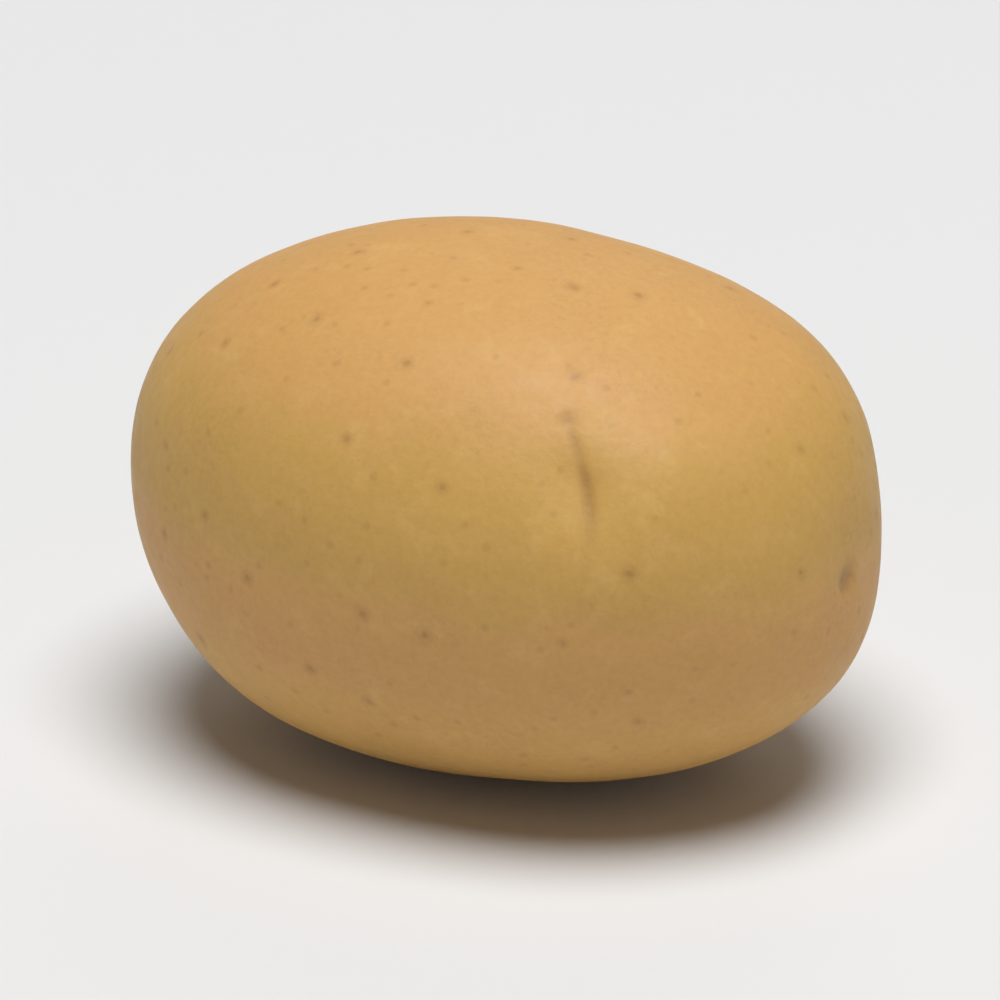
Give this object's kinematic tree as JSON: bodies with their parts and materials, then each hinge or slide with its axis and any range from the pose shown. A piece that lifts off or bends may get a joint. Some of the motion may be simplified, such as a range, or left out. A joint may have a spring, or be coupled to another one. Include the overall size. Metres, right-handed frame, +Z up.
{
  "type": "potato",
  "caption": "Whole washed table potato, a smooth oval tuber with a thin tan skin, shallow eyes and a small flat resting spot.",
  "frame": {"origin": "middle of the bottom of the tuber's box, in the plane of the flat resting spot", "axes": "+X along the tuber's length from the rose end to the heel, where the stolon held it; +Y across its width, away from the face that is seen first; +Z up through its thickness"},
  "size_m": [0.083, 0.061, 0.0569],
  "materials": {
    "potato_skin": "thin smooth tan skin, satin, with faint mottling and small darker lenticels"
  },
  "bodies": {
    "root": {"potato": "potato_skin"}
  },
  "joints": []
}
